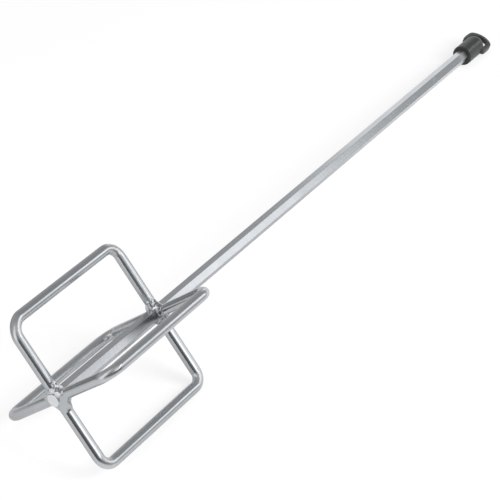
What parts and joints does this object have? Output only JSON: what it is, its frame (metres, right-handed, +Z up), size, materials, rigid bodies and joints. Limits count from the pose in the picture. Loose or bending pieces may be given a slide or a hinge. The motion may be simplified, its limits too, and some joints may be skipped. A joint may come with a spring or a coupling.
{
  "type": "mortar mixing paddle",
  "caption": "Hexagon shaft with a head of rectangular wire loops set in a cross, welded at both ends of the head, and a push-on plastic hanger cap.",
  "frame": {"origin": "middle of the footprint on the floor, below the centre of the bounding box", "axes": "+X along the tool from the mixing head to the hanger cap, +Z up from the floor it lies on, +Y to the left of the shaft"},
  "size_m": [0.6129, 0.0886, 0.0952],
  "materials": {
    "shaft_steel": "bright zinc-plated, drawn hexagon bar",
    "wire_steel": "bright zinc-plated round wire",
    "weld_metal": "lumpy weld beads under bright zinc plating",
    "cap_plastic": "dark grey moulded plastic, satin"
  },
  "bodies": {
    "paddle": {"hex_shaft": "shaft_steel", "loop_right_low": "wire_steel", "loop_left_low": "wire_steel", "loop_left_high": "wire_steel", "loop_right_high": "wire_steel", "weld_tip_bottom": "weld_metal", "weld_tip_left": "weld_metal", "weld_tip_top": "weld_metal", "weld_tip_right": "weld_metal", "weld_neck_bottom": "weld_metal", "weld_neck_left": "weld_metal", "weld_neck_top": "weld_metal", "weld_neck_right": "weld_metal"},
    "cap": {"hanger_cap": "cap_plastic"}
  },
  "joints": [
    {"name": "cap_pull", "type": "slide", "parent": "paddle", "child": "cap", "axis": [0.9973, 0, -0.0728], "range_m": [0, 0.026]}
  ]
}
